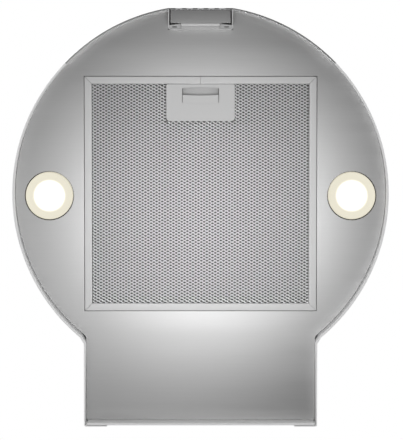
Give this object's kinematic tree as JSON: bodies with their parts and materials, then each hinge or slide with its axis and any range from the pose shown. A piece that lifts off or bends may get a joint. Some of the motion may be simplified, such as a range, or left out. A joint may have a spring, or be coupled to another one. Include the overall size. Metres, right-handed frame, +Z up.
{
  "type": "range hood",
  "caption": "Ceiling-hung cylinder range hood with a keyhole-shaped steel body, square grease filter with latch, lamps, front push buttons, blower and telescopic cover.",
  "frame": {"origin": "middle of the footprint's box, at the lower edge of the rim", "axes": "+Z up, -Y towards the control front, +X to the right seen from the front"},
  "size_m": [0.4, 0.446, 0.75],
  "materials": {
    "brushed_steel": "stainless, fine horizontal brushing",
    "filter_aluminium": "satin",
    "core_aluminium": "layered mesh, matt",
    "grey_plastic": "fine texture",
    "silver_plastic": "satin silver grey",
    "black_plastic": "fine texture",
    "button_chrome": "satin",
    "zinc_steel": "zinc plated",
    "spring_steel": "drawn wire",
    "lamp_glass": "frosted, lit from behind",
    "lamp_module": "diffuse white",
    "circuit_board": "solder mask",
    "black_lead": "sheathed lead",
    "white_lead": "sheathed lead"
  },
  "bodies": {
    "ceiling_frame": {"ceiling_plate": "zinc_steel", "upper_post_front_left": "zinc_steel", "upper_post_front_right": "zinc_steel", "upper_post_rear_left": "zinc_steel", "upper_post_rear_right": "zinc_steel", "post_brace": "zinc_steel"},
    "hood": {"lower_skin": "brushed_steel", "lower_back_plate": "brushed_steel", "bottom_panel": "brushed_steel", "control_housing": "silver_plastic", "control_fascia": "brushed_steel", "switch_board": "circuit_board", "lamp_lens_left": "lamp_glass", "lamp_lens_right": "lamp_glass", "lamp_housing_left": "silver_plastic", "lamp_housing_right": "silver_plastic", "lamp_led_left": "lamp_module", "lamp_led_right": "lamp_module", "lower_post_front_left": "zinc_steel", "lower_post_front_right": "zinc_steel", "lower_post_rear_left": "zinc_steel", "lower_post_rear_right": "zinc_steel", "blower_plate": "zinc_steel", "scroll_left": "grey_plastic", "scroll_right": "grey_plastic", "motor": "zinc_steel", "motor_bracket": "zinc_steel", "capacitor": "grey_plastic", "outlet_collar": "grey_plastic", "damper_pin": "zinc_steel", "electronics_box": "black_plastic", "electronics_lid": "black_plastic", "control_board": "circuit_board", "cable_gland": "grey_plastic", "lamp_lead_left": "white_lead", "lamp_lead_right": "white_lead", "control_lead": "black_lead", "motor_lead": "black_lead"},
    "upper_cover": {"upper_skin": "brushed_steel", "upper_back_plate": "brushed_steel"},
    "filter": {"filter_frame": "filter_aluminium", "filter_mesh_lower": "filter_aluminium", "filter_core": "core_aluminium", "filter_mesh_upper": "filter_aluminium", "filter_hook_left": "brushed_steel", "filter_hook_right": "brushed_steel", "latch_plate": "grey_plastic", "latch_spring": "spring_steel"},
    "filter_latch": {"latch_slider": "grey_plastic"},
    "impeller": {"impeller": "black_plastic", "motor_shaft": "zinc_steel"},
    "damper_front": {"damper_flap_front": "grey_plastic"},
    "damper_rear": {"damper_flap_rear": "grey_plastic"},
    "button_1": {"button_1": "button_chrome"},
    "button_2": {"button_2": "button_chrome"},
    "button_3": {"button_3": "button_chrome"},
    "button_4": {"button_4": "button_chrome"},
    "button_5": {"button_5": "button_chrome"}
  },
  "joints": [
    {"name": "hood_height", "type": "slide", "parent": "ceiling_frame", "child": "hood", "axis": [0, 0, 1], "range_m": [0, 0.1]},
    {"name": "upper_cover_slide", "type": "slide", "parent": "ceiling_frame", "child": "upper_cover", "axis": [0, 0, 1], "range_m": [-0.2, 0]},
    {"name": "filter_swing", "type": "hinge", "parent": "hood", "child": "filter", "pos_m": [0, 0.10223, 0.0336], "axis": [1, 0, 0], "range_deg": [0, 75]},
    {"name": "filter_latch_slide", "type": "slide", "parent": "filter", "child": "filter_latch", "axis": [0, 1, 0], "range_m": [0, 0.0045], "stiffness_N_per_m": 400, "deforming": ["latch_spring"]},
    {"name": "impeller_spin", "type": "hinge", "parent": "hood", "child": "impeller", "pos_m": [0, -0.09602, 0.19], "axis": [1, 0, 0], "continuous": true},
    {"name": "damper_front_swing", "type": "hinge", "parent": "hood", "child": "damper_front", "pos_m": [0, -0.01802, 0.3566], "axis": [-1, 0, 0], "range_deg": [0, 80]},
    {"name": "damper_rear_swing", "type": "hinge", "parent": "hood", "child": "damper_rear", "pos_m": [0, -0.01802, 0.3566], "axis": [1, 0, 0], "range_deg": [0, 80]},
    {"name": "button_1_press", "type": "slide", "parent": "hood", "child": "button_1", "axis": [0, 1, 0], "range_m": [0, 0.0025], "stiffness_N_per_m": 300},
    {"name": "button_2_press", "type": "slide", "parent": "hood", "child": "button_2", "axis": [0, 1, 0], "range_m": [0, 0.0025], "stiffness_N_per_m": 300},
    {"name": "button_3_press", "type": "slide", "parent": "hood", "child": "button_3", "axis": [0, 1, 0], "range_m": [0, 0.0025], "stiffness_N_per_m": 300},
    {"name": "button_4_press", "type": "slide", "parent": "hood", "child": "button_4", "axis": [0, 1, 0], "range_m": [0, 0.0025], "stiffness_N_per_m": 300},
    {"name": "button_5_press", "type": "slide", "parent": "hood", "child": "button_5", "axis": [0, 1, 0], "range_m": [0, 0.0025], "stiffness_N_per_m": 300}
  ]
}
